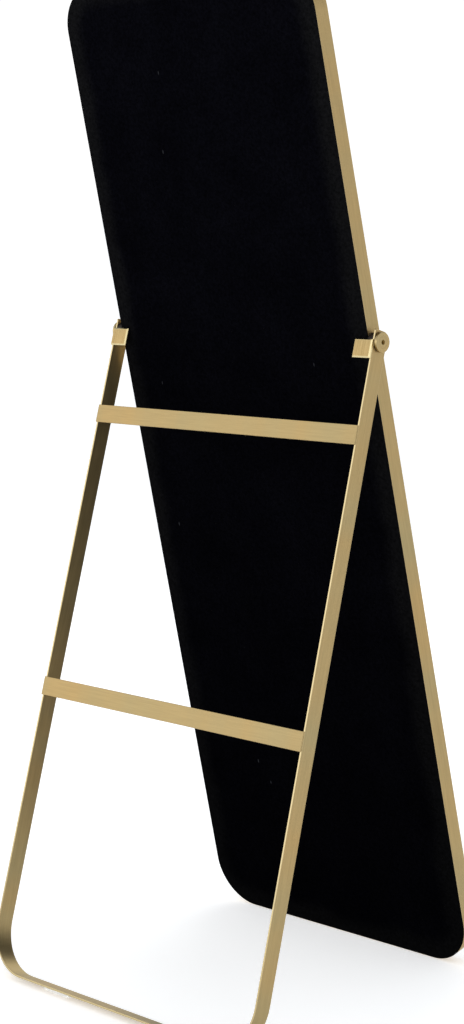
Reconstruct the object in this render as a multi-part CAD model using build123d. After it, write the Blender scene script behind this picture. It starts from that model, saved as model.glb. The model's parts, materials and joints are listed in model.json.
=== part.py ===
from build123d import *
from math import cos, radians, sin
import os

# Cheval floor mirror with a folding rear stand. All lengths are in millimetres.
# +Z is up, the glass faces -Y, the stand opens towards +Y, and the floor is Z = 0.
# Both halves are drawn upright and then tilted: the mirror leans back about its foot,
# and the stand swings out about the two pivots.

# ---- Overall sizes ---------------------------------------------------------------
MIRROR_WIDTH = 559.0
MIRROR_HEIGHT = 1651.0
CORNER_RADIUS = 76.0
LEAN_ANGLE = 12.5        # mirror, back from upright
OPEN_ANGLE = 29.0        # between the mirror and the open stand
PIVOT_HEIGHT = 1054.0    # along the mirror, from its bottom edge

# ---- Frame band and what it holds ------------------------------------------------
FRAME_DEPTH = 28.0
FRAME_WALL = 1.5
LIP_WIDTH = 6.0
LIP_THICKNESS = 1.5
GLASS_THICKNESS = 4.0
LINER_THICKNESS = 1.0
BOARD_THICKNESS = 5.0
FIT_GAP = 0.5            # between the band and each sheet inside it
BATTEN_WIDTH = 38.0
BATTEN_END_GAP = 1.0
BACK_CORE_THICKNESS = 2.0
VELVET_THICKNESS = 1.0
VELVET_WRAP = 2.0        # velvet and padding turned over the edge of the core
RIM_ROUNDING = 1.8
EDGE_ROUNDING = 0.5      # handled edges of the metal

# ---- Flat bar of the stand -------------------------------------------------------
BAR_WIDTH = 30.0
BAR_THICKNESS = 3.0
BOW_CORNER_RADIUS = 76.0
BOW_TOP_RISE = 18.0      # leg above the pivot
BOW_TOP_ROUNDING = 2.0   # rear corner
BOW_NOSE_ROUNDING = 9.0  # front corner, which passes behind the knob's edge
SIDE_GAP = 11.0          # between the mirror's side and the leg
UPPER_BAR_DROP = 149.0   # pivot to the middle of each crossbar, down the leg
LOWER_BAR_DROP = 613.0
CROSSBAR_HEIGHT = 30.0
CROSSBAR_THICKNESS = 3.0
TAB_WIDTH = 36.0
TAB_HEIGHT = 30.0
TAB_THICKNESS = 5.0
TAB_RISE = 1.0           # stop tab above the pivot's level
TAB_BEVEL = 2.0
WELD_RELIEF = 0.8        # on the edge that meets the leg, so the weld stays below the surface
STOP_GAP = 0.2           # left between the stop tab and the velvet when open

# ---- Pivots ----------------------------------------------------------------------
SHOULDER_RADIUS = 5.0
THREAD_RADIUS = 4.0
RUNNING_CLEARANCE = 0.05
FACE_GAP = 0.15          # between parts that turn face to face
SPACER_RADIUS = 14.5     # clear of the stop tabs, which sweep round it
WASHER_RADIUS = 11.0
WASHER_THICKNESS = 1.0
DISC_RADIUS = 16.0
DISC_THICKNESS = 4.5
DISC_HOLE_RADIUS = 3.9
DISC_BEVEL = 0.6
BOLT_HEAD_RADIUS = 6.5
BOLT_HEAD_HEIGHT = 2.8
SOCKET_ACROSS_FLATS = 5.0
SOCKET_DEPTH = 2.2
BLOCK_THICKNESS = 12.0
BLOCK_HEIGHT = 50.0
BLOCK_DEPTH = 15.0
BLOCK_GAP = 0.5          # around the block, in the board and the batten

# ---- Feet and screws -------------------------------------------------------------
PAD_LENGTH = 60.0
PAD_THICKNESS = 2.5      # at the thin edge of the wedge
PAD_WIDTH = 14.0
PAD_INSET = 3.0          # pad back from the bearing edge
PAD_FROM_SIDE = 110.0
SCREW_RADIUS = 1.75
SCREW_BITE = 2.5         # into the backing board
SCREW_HEAD_RADIUS = 3.5
SCREW_HEAD_HEIGHT = 2.2
SCREWS_PER_SIDE = 4

# ---- Worked out ------------------------------------------------------------------
half_width = MIRROR_WIDTH / 2
panel_depth = FRAME_DEPTH + BACK_CORE_THICKNESS + VELVET_THICKNESS
glass_front = LIP_THICKNESS
liner_front = glass_front + GLASS_THICKNESS
board_front = liner_front + LINER_THICKNESS
batten_front = board_front + BOARD_THICKNESS
leg_outer = half_width + SIDE_GAP + BAR_THICKNESS
stand_angle = OPEN_ANGLE - LEAN_ANGLE

# The open stand stops when the top edge of each tab meets the velvet.
stop_reach = (
    BAR_WIDTH / 2 * cos(radians(OPEN_ANGLE))
    - TAB_RISE * sin(radians(OPEN_ANGLE))
    - STOP_GAP
)
pivot_depth = panel_depth - stop_reach

# The mirror stands on the rear edge of its pads, the bow on the front edge of its own.
mirror_pad_rear = FRAME_DEPTH - PAD_INSET
mirror_lift = mirror_pad_rear * sin(radians(LEAN_ANGLE)) + PAD_THICKNESS * cos(radians(LEAN_ANGLE))
pivot_y = pivot_depth * cos(radians(LEAN_ANGLE)) + PIVOT_HEIGHT * sin(radians(LEAN_ANGLE))
pivot_z = (
    mirror_lift
    - pivot_depth * sin(radians(LEAN_ANGLE))
    + PIVOT_HEIGHT * cos(radians(LEAN_ANGLE))
)
bow_pad_front = BAR_WIDTH / 2 - PAD_INSET
bow_length = (
    (pivot_z - bow_pad_front * sin(radians(stand_angle))) / cos(radians(stand_angle))
    - PAD_THICKNESS
)

parts = {}


def upright_slab(width, height, radius, front, thickness, bottom=0.0):
    """A rounded rectangle standing on `bottom`, from `front` back along +Y."""
    outline = Pos(0, bottom + height / 2, 0) * RectangleRounded(width, height, radius)
    return Pos(0, front + thickness, 0) * Rot(90, 0, 0) * extrude(outline, thickness)


def inset_slab(inset, front, thickness):
    """The mirror's own outline drawn in by `inset`."""
    return upright_slab(
        MIRROR_WIDTH - 2 * inset,
        MIRROR_HEIGHT - 2 * inset,
        CORNER_RADIUS - inset,
        front,
        thickness,
        bottom=inset,
    )


def block(x_range, y_range, z_range):
    """A box given by its three ranges."""
    size = [high - low for low, high in (x_range, y_range, z_range)]
    middle = [(high + low) / 2 for low, high in (x_range, y_range, z_range)]
    return Pos(*middle) * Box(*size)


def rod_x(radius, start, end):
    """A round bar along X, from `start` to `end`, on the X axis."""
    return Pos((start + end) / 2, 0, 0) * Rot(0, 90, 0) * Cylinder(radius, end - start)


def tube_x(outer, inner, start, end):
    return rod_x(outer, start, end) - rod_x(inner, start - 1, end + 1)


def lean(shape):
    """Lean an upright mirror piece back onto its pads."""
    return Pos(0, 0, mirror_lift) * Rot(-LEAN_ANGLE, 0, 0) * shape


def swing(shape):
    """Swing a hanging stand piece out about the pivots."""
    return Pos(0, pivot_y, pivot_z) * Rot(stand_angle, 0, 0) * shape


def at_pivot(shape):
    """Move a piece drawn on the X axis to the pivot, in the upright mirror."""
    return Pos(0, pivot_depth, PIVOT_HEIGHT) * shape


def both_sides(name, right_shape, place):
    """Make a piece drawn at +X, and its mirror image at -X."""
    parts[name + "_right"] = place(right_shape)
    parts[name + "_left"] = place(mirror(right_shape, about=Plane.YZ))


# ---- Pivot hardware, drawn on the X axis at the +X side --------------------------
leg_inner = leg_outer - BAR_THICKNESS
washer_start = leg_outer + FACE_GAP
disc_start = washer_start + WASHER_THICKNESS + FACE_GAP
disc_end = disc_start + DISC_THICKNESS
block_outer = half_width - FRAME_WALL
block_inner = block_outer - BLOCK_THICKNESS

spacer = tube_x(SPACER_RADIUS, SHOULDER_RADIUS + RUNNING_CLEARANCE, half_width, leg_inner - FACE_GAP)
washer = tube_x(
    WASHER_RADIUS, SHOULDER_RADIUS + RUNNING_CLEARANCE, washer_start, washer_start + WASHER_THICKNESS
)

bolt = rod_x(THREAD_RADIUS, block_inner + FACE_GAP, half_width + FACE_GAP)
bolt += rod_x(SHOULDER_RADIUS, half_width + FACE_GAP, disc_start)
bolt += rod_x(BOLT_HEAD_RADIUS, disc_start, disc_start + BOLT_HEAD_HEIGHT)
socket = extrude(RegularPolygon(SOCKET_ACROSS_FLATS / 2, 6, major_radius=False), SOCKET_DEPTH + 1)
bolt -= Pos(disc_start + BOLT_HEAD_HEIGHT - SOCKET_DEPTH, 0, 0) * Rot(0, 90, 0) * socket

disc = rod_x(DISC_RADIUS, disc_start, disc_end)
disc = chamfer(disc.edges().filter_by(GeomType.CIRCLE), DISC_BEVEL)
disc -= rod_x(DISC_HOLE_RADIUS, disc_start - 1, disc_end + 1)
disc -= rod_x(BOLT_HEAD_RADIUS, disc_start - 1, disc_start + BOLT_HEAD_HEIGHT)


def block_shape(gap):
    """The steel block behind the band's side wall, grown by `gap` where wood lies against it."""
    half_depth = BLOCK_DEPTH / 2 + gap
    half_height = BLOCK_HEIGHT / 2 + gap
    return block(
        (block_inner - gap, block_outer),
        (pivot_depth - half_depth, pivot_depth + half_depth),
        (PIVOT_HEIGHT - half_height, PIVOT_HEIGHT + half_height),
    )


thread_hole = at_pivot(rod_x(THREAD_RADIUS + RUNNING_CLEARANCE, block_inner - 1, half_width + 1))

both_sides("pivot_spacer", spacer, lambda shape: lean(at_pivot(shape)))
both_sides("pivot_bolt", bolt, lambda shape: lean(at_pivot(shape)))
both_sides("pivot_disc", disc, lambda shape: lean(at_pivot(shape)))
both_sides("pivot_block", block_shape(0) - thread_hole, lean)
both_sides("leg_washer", washer, swing)

# ---- Mirror frame: one bent band with a lip at the front -------------------------
band = inset_slab(0, 0, FRAME_DEPTH)
band = fillet(band.edges().group_by(Axis.Y)[0], EDGE_ROUNDING)
band -= inset_slab(FRAME_WALL, LIP_THICKNESS, FRAME_DEPTH)
band -= inset_slab(LIP_WIDTH, -1, FRAME_DEPTH)
band -= thread_hole
band -= mirror(thread_hole, about=Plane.YZ)
parts["mirror_frame"] = lean(band)

# ---- Sheets inside the band, front to back ---------------------------------------
sheet_inset = FRAME_WALL + FIT_GAP
block_room = block_shape(BLOCK_GAP)
both_rooms = block_room + mirror(block_room, about=Plane.YZ)
parts["mirror_glass"] = lean(inset_slab(sheet_inset, glass_front, GLASS_THICKNESS))
parts["foam_liner"] = lean(inset_slab(sheet_inset, liner_front, LINER_THICKNESS) - both_rooms)
backing_board = inset_slab(sheet_inset, board_front, BOARD_THICKNESS) - both_rooms

# ---- Battens: a wooden ladder that fills the rest of the band --------------------
batten_room = inset_slab(sheet_inset, batten_front, FRAME_DEPTH - batten_front)
batten_outer = half_width - sheet_inset
batten_inner = batten_outer - BATTEN_WIDTH
batten_depths = (batten_front, FRAME_DEPTH)
end_rail_low = sheet_inset
end_rail_high = MIRROR_HEIGHT - sheet_inset
side_batten = batten_room & block(
    (batten_inner, batten_outer), batten_depths, (end_rail_low, end_rail_high)
)
side_batten -= block_room

rail_half = batten_inner - BATTEN_END_GAP
rails = {
    "batten_bottom": end_rail_low,
    "batten_middle": PIVOT_HEIGHT - BATTEN_WIDTH / 2,
    "batten_top": end_rail_high - BATTEN_WIDTH,
}
rail_shapes = {
    name: batten_room & block((-rail_half, rail_half), batten_depths, (low, low + BATTEN_WIDTH))
    for name, low in rails.items()
}

# ---- Countersunk screws from the battens into the backing board ------------------
screw_length = FRAME_DEPTH - batten_front + SCREW_BITE
screw = Pos(0, FRAME_DEPTH - screw_length / 2, 0) * Rot(90, 0, 0) * Cylinder(SCREW_RADIUS, screw_length)
screw_head = Cone(SCREW_HEAD_RADIUS, SCREW_RADIUS, SCREW_HEAD_HEIGHT)
screw += Pos(0, FRAME_DEPTH - SCREW_HEAD_HEIGHT / 2, 0) * Rot(90, 0, 0) * screw_head
side_screw_x = (batten_inner + batten_outer - BLOCK_THICKNESS) / 2
side_screw_low = end_rail_low + 2 * CORNER_RADIUS
side_screw_step = (end_rail_high - 2 * CORNER_RADIUS - side_screw_low) / (SCREWS_PER_SIDE - 1)
screw_places = [
    (side * side_screw_x, side_screw_low + step * side_screw_step)
    for side in (-1, 1)
    for step in range(SCREWS_PER_SIDE)
]
screw_places += [
    (side * rail_half / 2, low + BATTEN_WIDTH / 2) for side in (-1, 1) for low in rails.values()
]
screws = [Pos(x, 0, z) * screw for x, z in screw_places]

for fixing in screws:
    backing_board -= fixing
    side_batten -= fixing
    rail_shapes = {name: rail - fixing for name, rail in rail_shapes.items()}

parts["backing_board"] = lean(backing_board)
both_sides("batten", side_batten, lean)
for name, rail in rail_shapes.items():
    parts[name] = lean(rail)
parts["batten_screws"] = lean(Compound(children=screws))

# ---- Back: a thin board with black velvet turned over its edge -------------------
back_core = inset_slab(VELVET_WRAP, FRAME_DEPTH, BACK_CORE_THICKNESS)
velvet = inset_slab(0, FRAME_DEPTH, BACK_CORE_THICKNESS + VELVET_THICKNESS)
velvet = fillet(velvet.edges().group_by(Axis.Y)[-1], RIM_ROUNDING)
parts["back_board"] = lean(back_core)
parts["velvet_cover"] = lean(velvet - back_core)

# ---- Mirror feet: clear silicone wedges, cut level with the floor ------------------------
pad_outer = half_width - PAD_FROM_SIDE
below_floor = block((-MIRROR_WIDTH, MIRROR_WIDTH), (-MIRROR_HEIGHT, MIRROR_HEIGHT), (-MIRROR_WIDTH, 0))
mirror_pad = block(
    (pad_outer - PAD_LENGTH, pad_outer),
    (mirror_pad_rear - PAD_WIDTH, mirror_pad_rear),
    (-PAD_WIDTH, 0),
)
both_sides("mirror_pad", mirror_pad, lambda shape: lean(shape) - below_floor)

# ---- Stand: one flat bar bent into a bow -----------------------------------------
bow_height = bow_length + BOW_TOP_RISE
blank_height = bow_height + BOW_CORNER_RADIUS + BAR_THICKNESS


def bow_slab(inset):
    """The bow's outline, drawn in by `inset`; its top is trimmed off later."""
    return upright_slab(
        2 * (leg_outer - inset),
        blank_height - inset,
        BOW_CORNER_RADIUS - inset,
        -BAR_WIDTH / 2,
        BAR_WIDTH,
        bottom=inset - bow_length,
    )


bow = bow_slab(0) - bow_slab(BAR_THICKNESS)
bow -= block(
    (-2 * leg_outer, 2 * leg_outer),
    (-BAR_WIDTH, BAR_WIDTH),
    (BOW_TOP_RISE, BOW_TOP_RISE + blank_height),
)
top_corners = bow.edges().group_by(Axis.Z)[-1].filter_by(Axis.X).group_by(Axis.Y)
bow = fillet(top_corners[-1], BOW_TOP_ROUNDING)
nose_corners = bow.edges().group_by(Axis.Z)[-1].filter_by(Axis.X).group_by(Axis.Y)
bow = fillet(nose_corners[0], BOW_NOSE_ROUNDING)
long_edges = bow.edges().group_by(Axis.Y)
bow = fillet(long_edges[0] + long_edges[-1], EDGE_ROUNDING)
bow -= rod_x(SHOULDER_RADIUS + RUNNING_CLEARANCE, -2 * leg_outer, 2 * leg_outer)
parts["stand_bow"] = swing(bow)

# ---- Crossbars and stop tabs, welded to the rear edges of the legs ---------------
bar_rear = BAR_WIDTH / 2
for name, drop in (("upper_crossbar", UPPER_BAR_DROP), ("lower_crossbar", LOWER_BAR_DROP)):
    crossbar = block(
        (-leg_outer, leg_outer),
        (bar_rear, bar_rear + CROSSBAR_THICKNESS),
        (-drop - CROSSBAR_HEIGHT / 2, -drop + CROSSBAR_HEIGHT / 2),
    )
    crossbar = fillet(crossbar.edges().group_by(Axis.Y)[-1], EDGE_ROUNDING)
    weld_edges = crossbar.edges().filter_by(Axis.Z).group_by(Axis.Y)[0]
    crossbar = chamfer(weld_edges, WELD_RELIEF)
    parts[name] = swing(crossbar)

tab = block(
    (leg_outer - TAB_WIDTH, leg_outer),
    (bar_rear, bar_rear + TAB_THICKNESS),
    (TAB_RISE - TAB_HEIGHT, TAB_RISE),
)
tab = chamfer(tab.edges().group_by(Axis.Y)[-1], TAB_BEVEL)
tab = chamfer(tab.edges().filter_by(Axis.Z).group_by(Axis.Y)[0].sort_by(Axis.X)[-1], WELD_RELIEF)
both_sides("stop_tab", tab, swing)

# ---- Stand feet ------------------------------------------------------------------
bow_pad = block(
    (pad_outer - PAD_LENGTH, pad_outer),
    (-bow_pad_front, PAD_WIDTH - bow_pad_front),
    (-bow_length - PAD_WIDTH, -bow_length),
)
both_sides("stand_pad", bow_pad, lambda shape: swing(shape) - below_floor)

# ---- Put the origin on the floor in the middle of the footprint, and write -------
whole = Compound(children=[shape.moved(Location()) for shape in parts.values()]).bounding_box()
middle_y = (whole.min.Y + whole.max.Y) / 2
to_origin = Pos(0, -middle_y, 0)

os.makedirs("parts", exist_ok=True)
for name, shape in parts.items():
    export_step(to_origin * shape, f"parts/{name}.step")

print(f"pivot axis at y {pivot_y - middle_y:.3f}, z {pivot_z:.3f}")
print(f"bow length {bow_length:.2f}, lowest point {whole.min.Z:.4f}")
print(f"overall {whole.size.X:.1f} x {whole.size.Y:.1f} x {whole.size.Z:.1f}, {len(parts)} parts")
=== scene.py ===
# %% [markdown]
# # A cheval floor mirror, finished in Blender
# The real object is a tall mirror in a thin brushed brass band. It leans back, and a bow of flat brass
# bar hangs from two pivots at its sides and stands out behind it. The back is covered in black velvet.
# The metal, glass, wood and plastics already have their true shapes in the CAD model, so here they get
# their finishes. Cloth is what CAD draws worst, so the velvet is made again as a Blender mesh.

# %% [markdown]
# ## The frame
# Every piece of the CAD model comes in as one object, in metres, with its place held in its mesh.

import json
import math

import bpy
from mathutils import Euler, Matrix, Vector, noise


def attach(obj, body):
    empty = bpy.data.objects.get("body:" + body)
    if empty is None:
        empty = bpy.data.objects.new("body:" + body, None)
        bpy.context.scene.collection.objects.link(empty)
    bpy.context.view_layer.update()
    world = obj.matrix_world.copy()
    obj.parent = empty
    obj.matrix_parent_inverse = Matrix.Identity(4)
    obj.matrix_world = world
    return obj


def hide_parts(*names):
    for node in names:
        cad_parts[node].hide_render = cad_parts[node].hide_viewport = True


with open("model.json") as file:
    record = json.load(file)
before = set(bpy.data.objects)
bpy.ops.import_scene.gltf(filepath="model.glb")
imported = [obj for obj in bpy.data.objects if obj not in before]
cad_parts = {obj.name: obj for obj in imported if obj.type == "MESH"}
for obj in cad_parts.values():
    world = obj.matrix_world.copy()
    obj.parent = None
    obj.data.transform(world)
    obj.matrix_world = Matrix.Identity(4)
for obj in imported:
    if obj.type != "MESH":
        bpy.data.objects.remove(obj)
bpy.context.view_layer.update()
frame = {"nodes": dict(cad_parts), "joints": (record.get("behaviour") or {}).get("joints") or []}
nodes = frame["nodes"]
print("CAD pieces:", len(nodes))

# %% [markdown]
# ## Where the two halves lie
# The mirror leans and the stand swings out, so neither is square to the room. Brushing runs along the
# bars and the velvet lies on the tilted back, so both need the halves' own upright measures. The
# pivot is the one point that both halves share, and the frame gives it, so all is measured from there.

# %% The pivot and the two angles
MM = 0.001
LEAN = math.radians(-12.5)
SWING = math.radians(16.5)
fold_joint = [j for j in frame["joints"] if j["name"] == "stand_fold"][0]
pivot = Vector(fold_joint["pos_m"])
mirror_to_room = Matrix.Translation(pivot) @ Matrix.Rotation(LEAN, 4, "X")
room_to_mirror = mirror_to_room.inverted()
room_to_stand = (Matrix.Translation(pivot) @ Matrix.Rotation(SWING, 4, "X")).inverted()
print("pivot axis:", [round(v, 4) for v in pivot])


# %% Measure a piece in its own upright half
def upright_box(node, to_upright):
    points = [to_upright @ v.co for v in nodes[node].data.vertices]
    low = Vector([min(p[i] for p in points) for i in range(3)])
    high = Vector([max(p[i] for p in points) for i in range(3)])
    return low, high


band_low, band_high = upright_box("mirror_frame", room_to_mirror)
back_low, back_high = upright_box("velvet_cover", room_to_mirror)
core_low, core_high = upright_box("back_board", room_to_mirror)
bow_low, bow_high = upright_box("stand_bow", room_to_stand)
print("band:", [round(v / MM, 2) for v in band_high - band_low], "mm")
print("bow:", [round(v / MM, 2) for v in bow_high - bow_low], "mm")

# %% [markdown]
# ## The camera
# A camera can be aimed by dragging it, but numbers can be repeated. It stands behind the mirror at
# chest height, almost level, and looks across the back with a short portrait lens. A shift drops
# the picture's middle, as a view camera does when its front is lowered, so that upright things stay
# upright while the feet still fit. Tilting the whole camera down would make the legs lean together.

# %% Set up the camera
SENSOR = 36.0
LENS = 76.978
FRONT_DROP = -0.2656
FARTHEST = 2000.0
HEADING = math.radians(180) + 0.7749
TILT = math.radians(90) - 0.0177
ROLL = -0.0154
CAMERA_PLACE = (-2.4911, 2.5312, 1.2536)

camera_data = bpy.data.cameras.new("studio_camera")
camera_data.sensor_width = SENSOR
camera_data.lens = LENS
camera_data.shift_y = FRONT_DROP
camera_data.clip_end = FARTHEST
camera = bpy.data.objects.new("studio_camera", camera_data)
bpy.context.scene.collection.objects.link(camera)
bpy.context.scene.camera = camera

aim = Euler((TILT, 0, HEADING)).to_matrix() @ Matrix.Rotation(ROLL, 3, "Z")
camera.rotation_euler = aim.to_euler()
camera.location = CAMERA_PLACE
print("camera:", round(LENS), "mm lens at", CAMERA_PLACE)

# %% [markdown]
# ## Colours and nodes
# Colours are picked on a screen, in sRGB, but light adds up in linear numbers, so one function
# turns a hex colour into linear. Each finish is a small network of nodes, which could be wired one
# call at a time. Here one function adds a node together with its settings and links, which keeps a
# network short enough to read from top to bottom.


# %% Turn a hex colour to linear
def colour(text):
    steps = [int(text[i:i + 2], 16) / 255 for i in (1, 3, 5)]
    linear = [s / 12.92 if s <= 0.04045 else ((s + 0.055) / 1.055) ** 2.4 for s in steps]
    return (*linear, 1.0)


print("mid grey:", [round(v, 3) for v in colour("#808080")])


# %% Add a node with its settings and links
def add(tree, kind, inputs=None, **settings):
    node = tree.nodes.new(kind)
    for name, value in settings.items():
        setattr(node, name, value)
    for name, value in (inputs or {}).items():
        socket = node.inputs[name]
        if isinstance(value, bpy.types.NodeSocket):
            tree.links.new(value, socket)
        else:
            socket.default_value = value
    return node


def new_finish(name):
    material = bpy.data.materials.new(name)
    material.use_nodes = True
    material.node_tree.nodes.clear()
    return material


def close_finish(material, shader_inputs):
    tree = material.node_tree
    shader = add(tree, "ShaderNodeBsdfPrincipled", shader_inputs)
    add(tree, "ShaderNodeOutputMaterial", {"Surface": shader.outputs[0]})
    return material


def fade(tree, value, start, end, dark, light):
    ramp = add(tree, "ShaderNodeValToRGB", {"Fac": value})
    ramp.color_ramp.elements[0].position = start
    ramp.color_ramp.elements[1].position = end
    ramp.color_ramp.elements[0].color = dark
    ramp.color_ramp.elements[1].color = light
    return ramp.outputs["Color"]


def stretch(tree, value, low, high):
    # Noise stays near the middle of its range, so only that part is stretched.
    span = {"Value": value, "From Min": 0.3, "From Max": 0.7, "To Min": low, "To Max": high}
    return add(tree, "ShaderNodeMapRange", span).outputs["Result"]


print("helpers: add, new_finish, close_finish, fade, stretch")

# %% [markdown]
# ## Brushed brass
# The band, the bow and the crossbars are flat bar with a brass plating. They were drawn along an
# abrasive belt, so the eye sees hairlines that run with the bar, a broad soft gloss and slight
# drifts in tone. A picture of scratches could be wrapped round, but it would slide at the bent
# corners. Here the hairlines come from noise that is fine across the bar and long along it. At a
# bend, "across" is the distance to the bar's own outline, a rounded rectangle, which is simple
# arithmetic for nodes: fold the corners together, step in by the corner radius, and take the length.


# %% The across-the-bar measures for a bent bar
def bent_bar_measures(tree, centre, tilt, half_width, half_height, radius):
    place = add(tree, "ShaderNodeTexCoord").outputs["Object"]
    turn = {"Vector": place, "Location": centre, "Rotation": (tilt, 0, 0)}
    upright = add(tree, "ShaderNodeMapping", turn, vector_type="TEXTURE").outputs["Vector"]
    folded = add(tree, "ShaderNodeVectorMath", {0: upright}, operation="ABSOLUTE").outputs[0]
    reach = (half_width - radius, 1.0, half_height - radius)
    stepped = add(tree, "ShaderNodeVectorMath", {0: folded, 1: reach}, operation="SUBTRACT")
    outside = {0: stepped.outputs[0], 1: (0, 0, 0)}
    beyond = add(tree, "ShaderNodeVectorMath", outside, operation="MAXIMUM").outputs[0]
    across = add(tree, "ShaderNodeVectorMath", {0: beyond}, operation="LENGTH").outputs["Value"]
    return upright, across


print("bent bars are measured from their outline")

# %% [markdown]
# The belt's grit leaves lines about 0.3 mm apart. That is too fine to show from a few metres, so a
# second set 2.5 mm apart is drawn with it, as coarse as it needs to show. Both sets move the
# roughness and a shallow bump. A slow drift in tone, about 150 mm long, stands for the plating.
# Where hands and cloths rub, along the bar's sharp edges, the lines are polished away: there the
# metal is smoother, and its colour is paler, partly for that wear and partly as a painted highlight
# for the light the edges catch. A mask that is 1 at the edge and 0 on the flat mixes the two states.

# %% Hairlines and drift for brass
HAIRLINE = 0.3 * MM
COARSE_LINE = 2.5 * MM
LINE_LENGTH = 60 * MM
DRIFT_LENGTH = 150 * MM
BRASS_GRAZED = colour("#F4F2EA")
BRASS_WARM = colour("#B79C6B")
BRASS_PALE = colour("#AD9C72")
# Paler edge colour: partly wear, partly a painted edge highlight.
BRASS_WEAR_AND_HIGHLIGHT = colour("#BEAD84")
LINE_DULL = colour("#E4E4E4")
LINE_BRIGHT = colour("#FFFFFF")
BRUSHED_ROUGHNESS = (0.40, 0.52)
GROUND_ROUGHNESS = (0.22, 0.36)
LINE_HEIGHT = 0.05 * MM


def brass_from_lines(material, along, across_a, across_b, roughness, wear_and_highlight=None,
                     wear_and_highlight_tone=BRASS_WEAR_AND_HIGHLIGHT, line_dull=LINE_DULL):
    """Brass with hairlines that run along one measure and lie side by side in two others."""
    tree = material.node_tree
    sets = []
    for spacing in (HAIRLINE, COARSE_LINE):
        slow = {0: along, "Scale": 1 / LINE_LENGTH}
        run = add(tree, "ShaderNodeVectorMath", slow, operation="SCALE").outputs[0]
        fine = {0: across_a, 1: 1 / spacing}
        step = add(tree, "ShaderNodeMath", fine, operation="MULTIPLY").outputs[0]
        side = add(tree, "ShaderNodeCombineXYZ", {"Y": step}).outputs[0]
        shifted = add(tree, "ShaderNodeVectorMath", {0: run, 1: side}, operation="ADD").outputs[0]
        other = {0: across_b, 1: 1 / spacing}
        depth = add(tree, "ShaderNodeMath", other, operation="MULTIPLY").outputs[0]
        lines = {"Vector": shifted, "W": depth, "Scale": 1.0, "Detail": 2.0, "Roughness": 0.6}
        sets.append(add(tree, "ShaderNodeTexNoise", lines, noise_dimensions="4D").outputs[0])
    both = {0: sets[0], 1: sets[1]}
    sum_of_lines = add(tree, "ShaderNodeMath", both, operation="ADD").outputs[0]
    lines = add(tree, "ShaderNodeMath", {0: sum_of_lines, 1: 0.5}, operation="MULTIPLY").outputs[0]

    tone = {"Vector": along, "Scale": 1 / DRIFT_LENGTH, "Detail": 3.0}
    drift = add(tree, "ShaderNodeTexNoise", tone, noise_dimensions="3D").outputs[0]
    plating = fade(tree, drift, 0.35, 0.65, BRASS_PALE, BRASS_WARM)
    line_tone = fade(tree, lines, 0.35, 0.65, line_dull, LINE_BRIGHT)
    blend = {"Factor": 1.0, "A": plating, "B": line_tone}
    tinted = add(tree, "ShaderNodeMix", blend, data_type="RGBA", blend_type="MULTIPLY")
    tint = tinted.outputs["Result"]
    gloss = stretch(tree, lines, *roughness)
    # Near the edges the colour is made paler, partly for wear and partly as a painted highlight.
    if wear_and_highlight:
        wear_and_highlight_mix = {"Factor": wear_and_highlight, "A": tint, "B": wear_and_highlight_tone}
        tint = add(tree, "ShaderNodeMix", wear_and_highlight_mix, data_type="RGBA").outputs["Result"]
        smooth = {"Factor": wear_and_highlight, "A": gloss, "B": GROUND_ROUGHNESS[0]}
        gloss = add(tree, "ShaderNodeMix", smooth, data_type="FLOAT").outputs["Result"]
    ridges = {"Height": lines, "Strength": 0.12, "Distance": LINE_HEIGHT}
    return close_finish(material, {
        "Base Color": tint,
        "Metallic": 1.0,
        "Roughness": gloss,
        "Normal": add(tree, "ShaderNodeBump", ridges).outputs[0],
        "Specular Tint": BRASS_GRAZED,
    })


print("brass hairlines:", round(HAIRLINE / MM, 2), "and", round(COARSE_LINE / MM, 2), "mm")

# %% [markdown]
# The band and the bow are bent bars with the same corner radius. The band closes on itself. The bow
# is open at the top, so its rectangle simply goes on far above it, where nothing is left to paint.
# The paler edge, partly wear and partly a painted highlight, is less than a millimetre wide, and it is
# found by the depth through the bar.

# %% Brass for the mirror's band and the stand's bow
CORNER = 76 * MM
FAR_ABOVE = 4.0
EDGE_WEAR_AND_HIGHLIGHT = 0.8 * MM


def bent_brass(name, centre, tilt, half_width, half_height, radius, half_depth):
    material = new_finish(name)
    tree = material.node_tree
    upright, across = bent_bar_measures(tree, centre, tilt, half_width, half_height, radius)
    depth = add(tree, "ShaderNodeSeparateXYZ", {0: upright}).outputs["Y"]
    along = add(tree, "ShaderNodeVectorMath", {0: upright, 1: (1, 0, 1)}, operation="MULTIPLY")
    outward = add(tree, "ShaderNodeMath", {0: depth}, operation="ABSOLUTE").outputs[0]
    near_edge = {"Value": outward, "From Min": half_depth - EDGE_WEAR_AND_HIGHLIGHT, "From Max": half_depth}
    wear_and_highlight = add(tree, "ShaderNodeMapRange", near_edge).outputs["Result"]
    return brass_from_lines(material, along.outputs[0], depth, across, BRUSHED_ROUGHNESS, wear_and_highlight)


band_half = (band_high - band_low) / 2
band_centre = mirror_to_room @ ((band_high + band_low) / 2)
brass_band = bent_brass(
    "brushed_brass_band", band_centre, LEAN, band_half.x, band_half.z, CORNER, band_half.y
)
bow_centre = room_to_stand.inverted() @ Vector((0, 0, bow_low.z + FAR_ABOVE))
brass_bow = bent_brass(
    "brushed_brass_bow", bow_centre, SWING, bow_high.x, FAR_ABOVE, CORNER, bow_high.y
)
print("finishes:", brass_band.name, brass_bow.name)

# %% [markdown]
# The crossbars and the stop tabs are straight, so their lines only need an axis. A crossbar was
# brushed along its length, across the room. Its lines need no outline, only the stand's own upright
# measures, which a mapping node gives by undoing the stand's swing.


# %% Brass for the crossbars
def stand_upright(tree):
    place = add(tree, "ShaderNodeTexCoord").outputs["Object"]
    turn = {"Vector": place, "Location": pivot, "Rotation": (SWING, 0, 0)}
    return add(tree, "ShaderNodeMapping", turn, vector_type="TEXTURE").outputs["Vector"]


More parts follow.
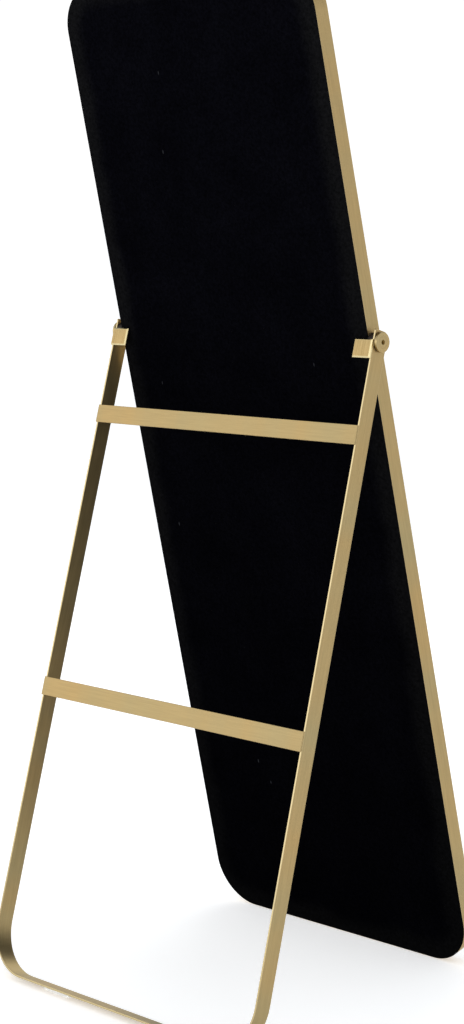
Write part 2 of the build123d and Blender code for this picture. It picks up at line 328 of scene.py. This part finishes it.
brass_crossbar = new_finish("brushed_brass_crossbar")
tree = brass_crossbar.node_tree
upright = stand_upright(tree)
parts = add(tree, "ShaderNodeSeparateXYZ", {0: upright}).outputs
along = add(tree, "ShaderNodeVectorMath", {0: upright, 1: (1, 0, 0)}, operation="MULTIPLY")
brass_from_lines(brass_crossbar, along.outputs[0], parts["Z"], parts["Y"], BRUSHED_ROUGHNESS)
print("finish:", brass_crossbar.name)

# %% [markdown]
# The tabs are small plates, ground by hand with a coarser belt, so their lines are stronger and the
# metal is glossier. Their bevels are smoother and painted bright, a painted highlight for the light
# they catch. The bevel's mask is the distance in from the nearest side of the plate. Left and right
# tabs mirror each other, so one network serves both once the sign of the sideways measure is dropped.

# %% Brass for the stop tabs
# Painted highlight colour for the tabs' bevels.
TAB_BEVEL_HIGHLIGHT = colour("#D6C698")
TAB_LINE_DULL = colour("#BDBAB0")
BEVEL = 2 * MM
tab_low, tab_high = upright_box("stop_tab_right", room_to_stand)

brass_tab = new_finish("ground_brass_tab")
tree = brass_tab.node_tree
upright = stand_upright(tree)
parts = add(tree, "ShaderNodeSeparateXYZ", {0: upright}).outputs
side = add(tree, "ShaderNodeMath", {0: parts["X"]}, operation="ABSOLUTE").outputs[0]
either_side = {"X": side, "Y": parts["Y"], "Z": parts["Z"]}
spot = add(tree, "ShaderNodeCombineXYZ", either_side).outputs[0]
from_middle = {0: spot, 1: (tab_low + tab_high) / 2}
centred = add(tree, "ShaderNodeVectorMath", from_middle, operation="SUBTRACT").outputs[0]
folded = add(tree, "ShaderNodeVectorMath", {0: centred}, operation="ABSOLUTE").outputs[0]
inward = {0: (tab_high - tab_low) / 2, 1: folded}
gaps = add(tree, "ShaderNodeVectorMath", inward, operation="SUBTRACT").outputs[0]
gap = add(tree, "ShaderNodeSeparateXYZ", {0: gaps}).outputs
nearest = add(tree, "ShaderNodeMath", {0: gap["X"], 1: gap["Z"]}, operation="MINIMUM")
# Painted highlight: the bevels get a paler colour for the light they catch.
near_edge = {"Value": nearest.outputs[0], "From Min": 1.3 * BEVEL, "From Max": 0.8 * BEVEL}
painted_bevel_highlight = add(tree, "ShaderNodeMapRange", near_edge).outputs["Result"]
along = add(tree, "ShaderNodeVectorMath", {0: upright, 1: (0, 0, 1)}, operation="MULTIPLY")
brass_from_lines(
    brass_tab, along.outputs[0], parts["X"], parts["Y"], GROUND_ROUGHNESS, painted_bevel_highlight,
    TAB_BEVEL_HIGHLIGHT, TAB_LINE_DULL,
)
print("finish:", brass_tab.name, "on plates", [round(v / MM, 1) for v in tab_high - tab_low], "mm")

# %% [markdown]
# The discs were turned on a lathe, which leaves fine rings. There the measure across the lines is
# the distance from the pivot's axis, and the lines run round it.

# %% Brass for the turned discs
brass_disc = new_finish("turned_brass_knob")
tree = brass_disc.node_tree
place = add(tree, "ShaderNodeTexCoord").outputs["Object"]
centred = add(tree, "ShaderNodeVectorMath", {0: place, 1: pivot}, operation="SUBTRACT")
flat = {0: centred.outputs[0], 1: (0, 1, 1)}
disc = add(tree, "ShaderNodeVectorMath", flat, operation="MULTIPLY").outputs[0]
radius = add(tree, "ShaderNodeVectorMath", {0: disc}, operation="LENGTH").outputs["Value"]
side = add(tree, "ShaderNodeSeparateXYZ", {0: place}).outputs["X"]
brass_from_lines(brass_disc, disc, radius, side, GROUND_ROUGHNESS)
print("finish:", brass_disc.name)

# %% [markdown]
# ## Silvered glass
# The mirror is 4 mm float glass with silver on its back. It could be built as clear glass over a
# metal sheet, but one metal shader with a thin glossy coat gives the same picture with less noise.
# Silver is nearly white, and the glass above it tints it faintly green. Float glass is very flat,
# and a trace of wiping marks keeps it from looking like a hole.

# %% Make the silvered glass
WIPE_MARK = 90 * MM
silvered_glass = new_finish("silvered_float_glass")
tree = silvered_glass.node_tree
place = add(tree, "ShaderNodeTexCoord").outputs["Object"]
marks = {"Vector": place, "Scale": 1 / WIPE_MARK, "Detail": 4.0, "Distortion": 0.6}
wiped = add(tree, "ShaderNodeTexNoise", marks).outputs[0]
close_finish(silvered_glass, {
    "Base Color": fade(tree, wiped, 0.3, 0.7, colour("#E6EBE8"), colour("#EBEEED")),
    "Metallic": 1.0,
    "Roughness": stretch(tree, wiped, 0.008, 0.014),
    "Coat Weight": 0.6,
    "Coat Roughness": 0.01,
})
print("finish:", silvered_glass.name, "with wiping marks", round(WIPE_MARK / MM), "mm across")

# %% [markdown]
# ## Black velvet
# Velvet is a cloth with a short upright pile. Seen straight on, the pile swallows nearly all light,
# and where it is seen along its tips it shows a soft dull sheen. Real hair could be grown on it, but
# at this distance a fine bump and a trace of sheen say the same. Along the board's rounded edge the
# colour is painted greyer, a painted highlight for the light that the rounded rim catches. Handling
# leaves faint patches, and the colour is painted lighter higher up and darker lower down, painted
# light for the upper back catching more light than the lower. The distance to the outline, found as
# for the band, tells the colour where the painted rim highlight lies.

# %% Make the velvet's colour
PATCH = 120 * MM
TUFT = 5 * MM
MARGIN = 46 * MM
PLAIN_RIM = 12 * MM
WANDER = 9 * MM
PAINTED_SHADE_BOTTOM = -0.7
PAINTED_LIGHT_TOP = 0.8
back_half = (back_high - back_low) / 2
back_centre = mirror_to_room @ ((back_high + back_low) / 2)

velvet = new_finish("black_cotton_velvet")
tree = velvet.node_tree
upright, across = bent_bar_measures(
    tree, back_centre, LEAN, back_half.x, back_half.z, CORNER
)
patches = {"Vector": upright, "Scale": 1 / PATCH, "Detail": 5.0, "Roughness": 0.6}
handled = add(tree, "ShaderNodeTexNoise", patches).outputs[0]
wander = stretch(tree, handled, -WANDER, WANDER)
edge = add(tree, "ShaderNodeMath", {0: across, 1: wander}, operation="ADD").outputs[0]
# Painted highlight: the colour turns greyer towards the rounded rim, standing for the light that the
# rim catches.
painted_rim_highlight = add(tree, "ShaderNodeMapRange", {
    "Value": edge, "From Min": CORNER - MARGIN, "From Max": CORNER - PLAIN_RIM,
}, interpolation_type="SMOOTHSTEP").outputs[0]
napped = fade(tree, handled, 0.35, 0.7, colour("#030305"), colour("#050508"))
# Painted light and shade: the colour is scaled up towards the top of the back and down towards its
# bottom, for the upper part catching more light.
raised = add(tree, "ShaderNodeSeparateXYZ", {0: upright}).outputs["Z"]
painted_light_by_height = {
    "Value": raised, "From Min": PAINTED_SHADE_BOTTOM, "From Max": PAINTED_LIGHT_TOP, "To Min": 0.6, "To Max": 1.5,
}
painted_top_light = add(tree, "ShaderNodeMapRange", painted_light_by_height).outputs["Result"]
mottled = {"Vector": upright, "Scale": 1 / TUFT, "Detail": 3.0, "Roughness": 0.7}
tufts = add(tree, "ShaderNodeTexNoise", mottled).outputs[0]
tuft_light = {0: stretch(tree, tufts, 0.55, 1.45), 1: painted_top_light}
tufts_times_painted_light = add(tree, "ShaderNodeMath", tuft_light, operation="MULTIPLY").outputs[0]
with_painted_rim_highlight = add(tree, "ShaderNodeMix", {
    "Factor": painted_rim_highlight, "A": napped, "B": colour("#0B0B0C"),
}, data_type="RGBA").outputs["Result"]
velvet_with_painted_light = add(tree, "ShaderNodeVectorMath", {0: with_painted_rim_highlight, "Scale": tufts_times_painted_light}, operation="SCALE")
print("velvet margin:", round(MARGIN / MM), "mm, give or take", round(WANDER / MM))

# %% [markdown]
# Black velvet always holds some lint. Bits could be scattered as tiny objects, but they would only
# be specks. A cell pattern has one point in each cell, so a small spot round that point is a bit of
# lint. The cells are stretched one way, which makes the bits two or three millimetres long, and
# only one cell in three keeps its bit.

# %% Add lint and close the velvet
LINT_SPACING = 26 * MM
LINT_EMPTY_SHARE = 0.66
LINT_TURN = 0.5
LINT_STRETCH = 0.35
LINT_EDGE = 0.055
LINT_CORE = 0.03
PILE = 0.9 * MM
PILE_HEIGHT = 0.4 * MM
slanted = {
    "Vector": upright, "Rotation": (0, LINT_TURN, 0), "Scale": (1.0, 0.0, LINT_STRETCH),
}
lint_place = add(tree, "ShaderNodeMapping", slanted).outputs[0]
cells = add(tree, "ShaderNodeTexVoronoi", {"Vector": lint_place, "Scale": 1 / LINT_SPACING})
from_point = cells.outputs["Distance"]
close_by = {"Value": from_point, "From Min": LINT_EDGE, "From Max": LINT_CORE}
speck = add(tree, "ShaderNodeMapRange", close_by).outputs[0]
chance = add(tree, "ShaderNodeSeparateColor", {0: cells.outputs["Color"]}).outputs[0]
drawn = {0: chance, 1: LINT_EMPTY_SHARE}
chosen = add(tree, "ShaderNodeMath", drawn, operation="GREATER_THAN").outputs[0]
lint = add(tree, "ShaderNodeMath", {0: speck, 1: chosen}, operation="MULTIPLY").outputs[0]
dusted = add(tree, "ShaderNodeMix", {
    "Factor": lint, "A": velvet_with_painted_light.outputs[0], "B": colour("#26272A"),
}, data_type="RGBA").outputs["Result"]

tips = add(tree, "ShaderNodeTexNoise", {"Vector": upright, "Scale": 1 / PILE, "Detail": 2.0})
pile = {"Height": tips.outputs[0], "Strength": 0.5, "Distance": PILE_HEIGHT}
close_finish(velvet, {
    "Base Color": dusted,
    "Roughness": stretch(tree, tips.outputs[0], 0.85, 1.0),
    "Normal": add(tree, "ShaderNodeBump", pile).outputs[0],
    "Specular IOR Level": 0.0,
    "Sheen Weight": 0.003,
    "Sheen Roughness": 0.4,
    "Sheen Tint": colour("#C8CCD6"),
})
print("velvet outline:", [round(v / MM, 1) for v in back_half * 2], "mm")

# %% [markdown]
# ## The velvet itself
# In CAD the cover is a plain slab with a rounded rim. Real cloth over a thin board falls away
# gently for about 23 mm before it turns over the edge, and it is never quite flat. A cloth
# simulation could find that, but this cloth is glued down, so its shape is known: a grid of rings
# that follow the outline, each with its own height. Rings are used because every ring can be a true
# rounded rectangle, so the rim stays smooth at the corners and the faces stay four-sided.

# %% The section through the velvet's edge
# (in from the outline, down from the highest point), in millimetres, from the band inwards
TOP_SECTION = [
    (0.0, 3.0), (0.0, 2.3), (0.15, 1.8), (0.5, 1.35), (1.1, 1.02), (2.0, 0.84), (4.0, 0.72),
    (7.0, 0.58), (11.0, 0.38), (15.0, 0.2), (19.0, 0.07), (23.0, 0.0),
]
CORE_INSET = (core_low.x - back_low.x) / MM
CORE_DROP = (back_high.y - core_high.y) / MM
CLEAR = 0.03
under_section = [(CORE_INSET - CLEAR, 3.0), (CORE_INSET - CLEAR, CORE_DROP)]
for ring in range(2, len(TOP_SECTION)):
    share = (ring - 1) / (len(TOP_SECTION) - 2)
    inner = CORE_INSET - CLEAR + share * (TOP_SECTION[-1][0] - CORE_INSET + CLEAR)
    under_section.append((inner, CORE_DROP - CLEAR))
print("rings at the edge:", len(TOP_SECTION), "core inset", round(CORE_INSET, 2), "mm")


# %% Lines of the grid, close together at the rim and wide in the middle
CORNER_STEP = 6.0
FIELD_STEP = 14.0


def grid_lines(half_size, edge_insets):
    steps = list(edge_insets)
    corner = CORNER / MM
    count = round((corner - steps[-1]) / CORNER_STEP)
    start = steps[-1]
    steps += [start + (corner - start) * (i + 1) / count for i in range(count)]
    count = round((half_size - corner) / FIELD_STEP)
    steps += [corner + (half_size - corner) * (i + 1) / count for i in range(count)]
    near = [half_size - s for s in steps]
    return [-v for v in near] + near[-2::-1]


def bend_to_outline(x, z, half_x, half_z):
    """Moves a point of a plain rectangle onto the rounded ring at the same inset."""
    gap_x = half_x - abs(x)
    gap_z = half_z - abs(z)
    inset = min(gap_x, gap_z)
    along = max(gap_x, gap_z) - inset
    radius = CORNER / MM - inset
    if radius <= 0 or along >= radius:
        return x, z
    angle = math.radians(45) * (1 - along / radius)
    if gap_z < gap_x:
        angle = math.radians(90) - angle
    round_x = half_x - CORNER / MM + radius * math.cos(angle)
    round_z = half_z - CORNER / MM + radius * math.sin(angle)
    return math.copysign(round_x, x), math.copysign(round_z, z)


print("grid steps:", CORNER_STEP, "and", FIELD_STEP, "mm")

# %% [markdown]
# The cover is closed, so that it is a real piece of cloth with a thickness: a top layer that shows
# and an under layer that lies on the board. Both layers use one grid, and only their section
# differs. The top also gets a slow unevenness of up to 0.25 mm, always downwards, so that the stop
# tabs still clear it.

# %% Build the two layers
UNEVEN = 0.25
UNEVEN_LENGTH = 160.0
RIM_RINGS = 5
EASE_RINGS = 6


def layer(section, uneven):
    half_x = back_half.x / MM
    half_z = back_half.z / MM
    middle = (back_high + back_low) / 2
    insets = [s[0] for s in section]
    lines_x = grid_lines(half_x, insets)
    lines_z = grid_lines(half_z, insets)
    vertices = []
    for row, z in enumerate(lines_z):
        for column, x in enumerate(lines_x):
            rank = min(row, column, len(lines_z) - 1 - row, len(lines_x) - 1 - column)
            drop = section[min(rank, len(section) - 1)][1]
            new_x, new_z = bend_to_outline(x, z, half_x, half_z)
            if uneven and rank > RIM_RINGS:
                spot = Vector((new_x, 0, new_z)) / UNEVEN_LENGTH
                fall = min(1.0, (rank - RIM_RINGS) / EASE_RINGS)
                drop += UNEVEN * fall * (0.5 + 0.5 * noise.noise(spot))
            height = back_high.y - drop * MM
            point = Vector((middle.x + new_x * MM, height, middle.z + new_z * MM))
            vertices.append(mirror_to_room @ point)
    return vertices, len(lines_x), len(lines_z)


top_layer, columns, rows = layer(TOP_SECTION, True)
under_layer, _, _ = layer(under_section, False)
print("grid:", columns, "by", rows)

# %% [markdown]
# The two layers have the same grid, so their outer rings match point for point. Walking once round
# that ring and joining each pair of neighbours above to the pair below gives the hem, and the cover
# becomes one closed mesh.


# %% Join the layers into one closed cover
def layer_faces(offset, flip):
    faces = []
    for row in range(rows - 1):
        for column in range(columns - 1):
            a = offset + row * columns + column
            face = (a, a + 1, a + columns + 1, a + columns)
            faces.append(face[::-1] if flip else face)
    return faces


def edge_walk():
    bottom = [c for c in range(columns)]
    right = [r * columns + columns - 1 for r in range(1, rows)]
    top = [(rows - 1) * columns + c for c in range(columns - 2, -1, -1)]
    left = [r * columns for r in range(rows - 2, 0, -1)]
    return bottom + right + top + left


under_start = len(top_layer)
walk = edge_walk()
hem = []
for here, after in zip(walk, walk[1:] + walk[:1]):
    hem.append((after, here, here + under_start, after + under_start))
cover_mesh = bpy.data.meshes.new("velvet_back")
cover_mesh.from_pydata(
    top_layer + under_layer, [], layer_faces(0, True) + layer_faces(under_start, False) + hem
)
cover_mesh.validate()
cover_mesh.shade_smooth()
velvet_back = bpy.data.objects.new("velvet_back", cover_mesh)
bpy.context.scene.collection.objects.link(velvet_back)
cover_mesh.materials.append(velvet)
print("velvet faces:", len(cover_mesh.polygons))

# %% Say what the cover is
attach(velvet_back, "mirror")
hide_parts("velvet_cover")

# %% [markdown]
# ## Zinc-plated steel
# The bolts, blocks and screws are steel with a yellow passivated zinc plating. It shows as a fine
# crystal spangle in dull gold, close enough to the brass that the bolt heads hardly show. Zinc
# crystals meet at straight borders, which is what a cell pattern draws.

# %% Make zinc-plated steel
SPANGLE = 1.2 * MM
zinc_steel = new_finish("yellow_zinc_plated_steel")
tree = zinc_steel.node_tree
place = add(tree, "ShaderNodeTexCoord").outputs["Object"]
crystals = add(tree, "ShaderNodeTexVoronoi", {"Vector": place, "Scale": 1 / SPANGLE})
shade = add(tree, "ShaderNodeSeparateColor", {0: crystals.outputs["Color"]}).outputs[0]
close_finish(zinc_steel, {
    "Base Color": fade(tree, shade, 0.0, 1.0, colour("#8E7A4E"), colour("#A48F62")),
    "Metallic": 1.0,
    "Roughness": stretch(tree, shade, 0.32, 0.42),
})
print("finish:", zinc_steel.name)

# %% [markdown]
# ## Moulded nylon
# The spacers and washers are black nylon. A mould's walls are spark-eroded, which leaves a fine even
# grain on the plastic rather than a gloss. Soft noise drives that grain in tone, roughness and bump.

# %% Make moulded black nylon
SPARK_GRAIN = 0.6 * MM
GRAIN_HEIGHT = 0.1 * MM
black_nylon = new_finish("moulded_black_nylon")
tree = black_nylon.node_tree
place = add(tree, "ShaderNodeTexCoord").outputs["Object"]
texture = {"Vector": place, "Scale": 1 / SPARK_GRAIN, "Detail": 3.0}
grains = add(tree, "ShaderNodeTexNoise", texture).outputs[0]
bumps = {"Height": grains, "Strength": 0.3, "Distance": GRAIN_HEIGHT}
close_finish(black_nylon, {
    "Base Color": fade(tree, grains, 0.3, 0.7, colour("#140D0A"), colour("#1C120D")),
    "Roughness": stretch(tree, grains, 0.45, 0.6),
    "Normal": add(tree, "ShaderNodeBump", bumps).outputs[0],
    "IOR": 1.53,
    "Specular IOR Level": 0.25,
})
print("finish:", black_nylon.name)

# %% [markdown]
# ## Clear silicone
# The feet are soft clear pads. Silicone lets most light through and bends it only a little, so on a
# pale floor they hardly show. Part of the light is scattered at once instead of passing through,
# and with a slight haze in tone and roughness that keeps a pad from looking like glass.

# %% Make clear silicone for the feet
SILICONE_HAZE = 4 * MM
clear_silicone = new_finish("moulded_clear_silicone")
tree = clear_silicone.node_tree
place = add(tree, "ShaderNodeTexCoord").outputs["Object"]
haze = {"Vector": place, "Scale": 1 / SILICONE_HAZE, "Detail": 3.0}
cloudy = add(tree, "ShaderNodeTexNoise", haze).outputs[0]
close_finish(clear_silicone, {
    "Base Color": fade(tree, cloudy, 0.3, 0.7, colour("#EDEDEA"), colour("#F6F6F4")),
    "Roughness": stretch(tree, cloudy, 0.35, 0.5),
    "IOR": 1.41,
    "Transmission Weight": 0.5,
})
print("finish:", clear_silicone.name)

# %% [markdown]
# ## Planed pine
# The battens are planed pine. A batten is cut along the tree, so its growth rings show as long
# stripes, pale early wood and darker late wood about 4 mm apart. A picture of grain would show
# seams at the ends. A solid pattern does not, because the batten is as if cut from one block: rings
# round the batten's length, stretched along it, with fine pores that run the same way.

# %% Make planed pine for upright and level battens
RING = 4 * MM
PORE = 0.5 * MM
PORE_DEPTH = 0.1 * MM
STRETCHED = 0.04


def planed_pine(name, line_axis):
    material = new_finish(name)
    tree = material.node_tree
    place = add(tree, "ShaderNodeTexCoord").outputs["Object"]
    turn = {"Vector": place, "Location": pivot, "Rotation": (LEAN, 0, 0)}
    upright = add(tree, "ShaderNodeMapping", turn, vector_type="TEXTURE").outputs["Vector"]
    squeeze = {"X": (STRETCHED, 1, 1), "Z": (1, 1, STRETCHED)}[line_axis]
    log = add(tree, "ShaderNodeVectorMath", {0: upright, 1: squeeze}, operation="MULTIPLY")
    waves = {"Vector": log.outputs[0], "Scale": 1 / (20 * RING), "Distortion": 4.0, "Detail": 3.0}
    rings = add(tree, "ShaderNodeTexWave", waves, wave_type="RINGS", rings_direction=line_axis)
    fine = {"Vector": log.outputs[0], "Scale": 1 / PORE, "Detail": 2.0}
    pores = add(tree, "ShaderNodeTexNoise", fine).outputs[0]
    growth = fade(tree, rings.outputs["Fac"], 0.2, 0.9, colour("#DDBB86"), colour("#B98A50"))
    pored = fade(tree, pores, 0.3, 0.7, colour("#D8D8D8"), colour("#FFFFFF"))
    blend = {"Factor": 1.0, "A": growth, "B": pored}
    wood = add(tree, "ShaderNodeMix", blend, data_type="RGBA", blend_type="MULTIPLY")
    ridges = {"Height": pores, "Strength": 0.3, "Distance": PORE_DEPTH}
    return close_finish(material, {
        "Base Color": wood.outputs["Result"],
        "Roughness": stretch(tree, pores, 0.55, 0.75),
        "Normal": add(tree, "ShaderNodeBump", ridges).outputs[0],
    })


pine_upright = planed_pine("planed_pine_upright", "Z")
pine_level = planed_pine("planed_pine_level", "X")
print("finishes:", pine_upright.name, pine_level.name)

# %% [markdown]
# ## Pressed fibreboard
# The boards are wood fibre pressed flat with heat. They have no grain, only short matted fibres, and
# the surface is dull and slightly fluffy. Noise that is rough and distorted looks matted, where
# plain noise would look like cloud.

# %% Make pressed fibreboard
FIBRE = 1.5 * MM
FLUFF = 0.1 * MM
fibreboard = new_finish("pressed_fibreboard")
tree = fibreboard.node_tree
place = add(tree, "ShaderNodeTexCoord").outputs["Object"]
matted = {"Vector": place, "Scale": 1 / FIBRE, "Detail": 6.0, "Roughness": 0.75, "Distortion": 1.5}
fibres = add(tree, "ShaderNodeTexNoise", matted).outputs[0]
nap = {"Height": fibres, "Strength": 0.4, "Distance": FLUFF}
close_finish(fibreboard, {
    "Base Color": fade(tree, fibres, 0.3, 0.7, colour("#8A6440"), colour("#B08B61")),
    "Roughness": stretch(tree, fibres, 0.75, 0.9),
    "Normal": add(tree, "ShaderNodeBump", nap).outputs[0],
})
print("finish:", fibreboard.name)

# %% [markdown]
# ## Foam liner
# A thin sheet of closed-cell polyethylene foam keeps the glass off the board. It is a mass of small
# bubbles, so a cell pattern with a 1 mm spacing gives its skin, white and quite matt.

# %% Make the foam
BUBBLE = 1.0 * MM
DIMPLE = 0.2 * MM
LIGHT_REACH = 2 * MM
foam = new_finish("closed_cell_foam")
tree = foam.node_tree
place = add(tree, "ShaderNodeTexCoord").outputs["Object"]
bubbles = add(tree, "ShaderNodeTexVoronoi", {"Vector": place, "Scale": 1 / BUBBLE})
skin = bubbles.outputs["Distance"]
dimples = {"Height": skin, "Strength": 0.5, "Distance": DIMPLE}
close_finish(foam, {
    "Base Color": fade(tree, skin, 0.0, 0.8, colour("#E4E5E4"), colour("#F2F3F2")),
    "Roughness": stretch(tree, skin, 0.6, 0.8),
    "Normal": add(tree, "ShaderNodeBump", dimples).outputs[0],
    "Subsurface Weight": 0.15,
    "Subsurface Scale": LIGHT_REACH,
})
print("finish:", foam.name)

# %% [markdown]
# ## Give each piece its finish
# A material can be put on an object or on its mesh. The frame's pieces keep their meshes as they
# are, so each one's slot is linked to the object and pointed at the new finish. One table says
# which finish each piece gets, and pieces that come in left and right pairs share a row.

# %% Paint the CAD pieces
finishes = {
    "mirror_frame": brass_band,
    "mirror_glass": silvered_glass,
    "foam_liner": foam,
    "backing_board": fibreboard,
    "back_board": fibreboard,
    "batten_left": pine_upright,
    "batten_right": pine_upright,
    "batten_top": pine_level,
    "batten_middle": pine_level,
    "batten_bottom": pine_level,
    "batten_screws": zinc_steel,
    "stand_bow": brass_bow,
    "upper_crossbar": brass_crossbar,
    "lower_crossbar": brass_crossbar,
    "velvet_cover": velvet,
}
sided_finishes = {
    "pivot_block": zinc_steel,
    "pivot_bolt": zinc_steel,
    "pivot_disc": brass_disc,
    "pivot_spacer": black_nylon,
    "leg_washer": black_nylon,
    "mirror_pad": clear_silicone,
    "stand_pad": clear_silicone,
    "stop_tab": brass_tab,
}
for name, finish in sided_finishes.items():
    for side in ("left", "right"):
        finishes[f"{name}_{side}"] = finish
for name, node in nodes.items():
    for slot in node.material_slots:
        slot.link = "OBJECT"
        slot.material = finishes[name]
print("painted:", len(finishes), "pieces")

# %% [markdown]
# ## The studio floor
# A product like this is shown on a white sweep. The floor is matt painted board, so large that its
# far edge is never seen. Light that falls on it fades with distance, which would leave a grey
# horizon, so the paint also glows a little, as a floor lit evenly from above would.

# %% The floor
FLOOR_HALF = 400.0
ROLLER_MARK = 300 * MM
FLOOR_GLOW = 0.36
floor_mesh = bpy.data.meshes.new("studio_floor")
corners = [(-1, -1), (1, -1), (1, 1), (-1, 1)]
floor_mesh.from_pydata([(x * FLOOR_HALF, y * FLOOR_HALF, 0) for x, y in corners], [], [(0, 1, 2, 3)])
studio_floor = bpy.data.objects.new("studio_floor", floor_mesh)
bpy.context.scene.collection.objects.link(studio_floor)

painted_board = new_finish("matt_white_floor")
tree = painted_board.node_tree
place = add(tree, "ShaderNodeTexCoord").outputs["Object"]
rolled = add(tree, "ShaderNodeTexNoise", {"Vector": place, "Scale": 1 / ROLLER_MARK, "Detail": 4.0})
close_finish(painted_board, {
    "Base Color": fade(tree, rolled.outputs[0], 0.3, 0.7, colour("#FAFAFA"), colour("#FCFCFC")),
    "Roughness": 0.9,
    "Specular IOR Level": 0.2,
    "Emission Color": colour("#FFFFFF"),
    "Emission Strength": FLOOR_GLOW,
})
floor_mesh.materials.append(painted_board)
print("floor:", FLOOR_HALF * 2, "m")

# %% [markdown]
# ## The studio's light
# Metal has no colour of its own to show, only what it mirrors, so the room is what makes the brass
# look right. A bright room all round gives it an even tone. A picture of a room could do that, but
# a plain gradient from white at the floor to pale grey overhead has nothing in it to distract. In
# front and high up hangs a grey cloth, so that the glass has something to show besides white.

# %% The room's light
ROOM_STRENGTH = 1.12
world = bpy.data.worlds.new("white_studio")
world.use_nodes = True
tree = world.node_tree
tree.nodes.clear()
direction = add(tree, "ShaderNodeTexCoord").outputs["Generated"]
height = add(tree, "ShaderNodeSeparateXYZ", {0: direction}).outputs["Z"]
sweep = fade(tree, height, 0.2, 0.7, colour("#FFFFFF"), colour("#E6E8EB"))
ahead = add(tree, "ShaderNodeSeparateXYZ", {0: direction}).outputs["Y"]
facing = {"Value": ahead, "From Min": 0.1, "From Max": -0.3}
in_front = add(tree, "ShaderNodeMapRange", facing).outputs["Result"]
rising = {"Value": height, "From Min": 0.22, "From Max": 0.62}
overhead = add(tree, "ShaderNodeMapRange", rising, interpolation_type="SMOOTHSTEP").outputs[0]
cloth = add(tree, "ShaderNodeMath", {0: in_front, 1: overhead}, operation="MULTIPLY").outputs[0]
hung = {"Factor": cloth, "A": sweep, "B": colour("#878E94")}
sweep = add(tree, "ShaderNodeMix", hung, data_type="RGBA").outputs["Result"]
glow = add(tree, "ShaderNodeBackground", {"Color": sweep, "Strength": ROOM_STRENGTH})
add(tree, "ShaderNodeOutputWorld", {"Surface": glow.outputs[0]})
bpy.context.scene.world = world
bpy.context.scene.view_settings.view_transform = "Standard"
print("room strength:", ROOM_STRENGTH)

# %% [markdown]
# Three large softboxes shape what the room leaves flat. The rear one, high behind the stand, lifts
# the crossbars and tabs that face it. A weaker one fills the near side, and one in front keeps the
# glass side from going dull. They are large because a soft source gives brushed metal a broad,
# quiet highlight instead of a spot.


# %% The softboxes
def softbox(name, place, target, size, watts):
    data = bpy.data.lights.new(name, "AREA")
    data.shape = "RECTANGLE"
    data.size = size
    data.size_y = size
    data.energy = watts
    lamp = bpy.data.objects.new(name, data)
    lamp.location = place
    aim = Vector(target) - Vector(place)
    lamp.rotation_euler = aim.to_track_quat("-Z", "Y").to_euler()
    bpy.context.scene.collection.objects.link(lamp)
    return lamp


stand_middle = (0, 0.1, 0.8)
lamps = [
    softbox("rear_softbox", place=(2.6, 2.9, 1.7), target=stand_middle, size=2.2, watts=14),
    softbox("fill_softbox", place=(-3.4, 3.0, 1.6), target=stand_middle, size=1.6, watts=12),
    softbox("front_softbox", place=(1.6, -3.2, 2.4), target=stand_middle, size=2.2, watts=25),
]
print("softboxes:", [lamp.name for lamp in lamps])
